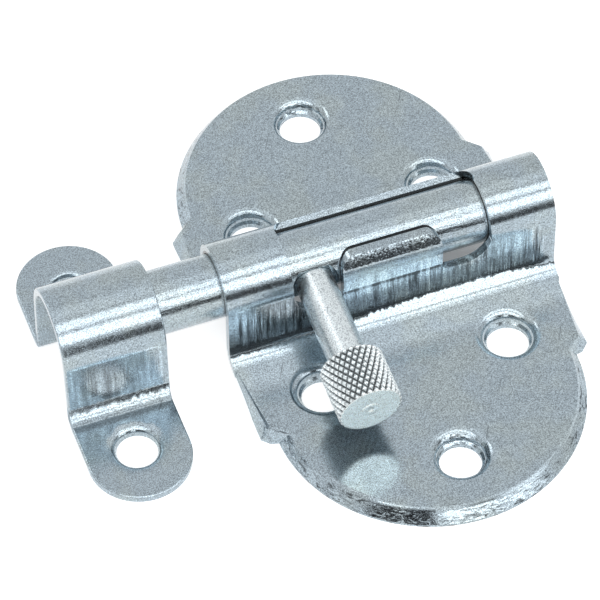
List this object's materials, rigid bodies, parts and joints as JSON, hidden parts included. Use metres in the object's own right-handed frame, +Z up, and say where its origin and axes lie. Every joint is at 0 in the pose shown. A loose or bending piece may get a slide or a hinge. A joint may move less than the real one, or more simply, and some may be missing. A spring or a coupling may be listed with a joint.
{
  "type": "surface bolt latch with strap keeper",
  "caption": "Zinc-plated round bolt with a knurled handle, sliding and turning in a pressed two-lobed surface plate, with a bent strap keeper.",
  "frame": {"origin": "on the mounting surface, in the middle of the plate's screw holes, under the bolt's axis", "axes": "+X along the bolt towards its open position, away from the keeper; +Y to the back, away from the handle; +Z up from the mounting surface"},
  "size_m": [0.0789, 0.0906, 0.0201],
  "materials": {
    "plated_sheet": "satin zinc plate with a fine grain",
    "plated_bar": "satin zinc plate on turned bar"
  },
  "bodies": {
    "fixed_parts": {"body_plate": "plated_sheet", "keeper": "plated_sheet"},
    "bolt": {"bolt_rod": "plated_bar", "handle": "plated_bar"}
  },
  "joints": [
    {"name": "bolt_turn", "type": "hinge", "parent": "fixed_parts", "child": "bolt", "pos_m": [0, 0, 0.0135], "axis": [-1, 0, 0], "range_deg": [0, 111]}
  ]
}
